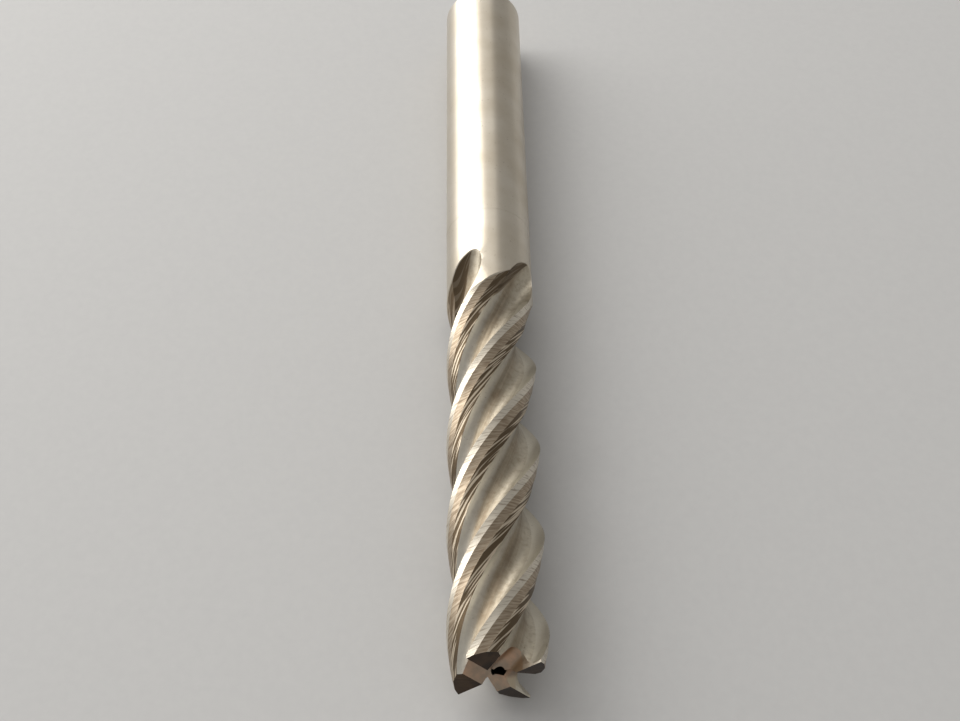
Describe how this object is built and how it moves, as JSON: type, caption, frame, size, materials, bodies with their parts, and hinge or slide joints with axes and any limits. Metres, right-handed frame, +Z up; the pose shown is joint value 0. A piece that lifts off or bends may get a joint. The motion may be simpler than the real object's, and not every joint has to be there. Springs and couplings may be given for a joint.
{
  "type": "end mill",
  "caption": "Straight-shank right-hand square end mill with helical flutes, relieved lands, gashed end teeth and a plain ground shank, lying on its side.",
  "frame": {"origin": "centre of the shank's back face", "axes": "+Y along the tool axis from the cutting end to the shank's back face; +Z up with the tool lying on its side; +X to the right seen from the cutting end"},
  "size_m": [0.012, 0.123, 0.012],
  "materials": {
    "cutter_steel": "ground",
    "shank_steel": "ground"
  },
  "bodies": {
    "root": {"fluted_cutter": "cutter_steel", "shank": "shank_steel"}
  },
  "joints": []
}
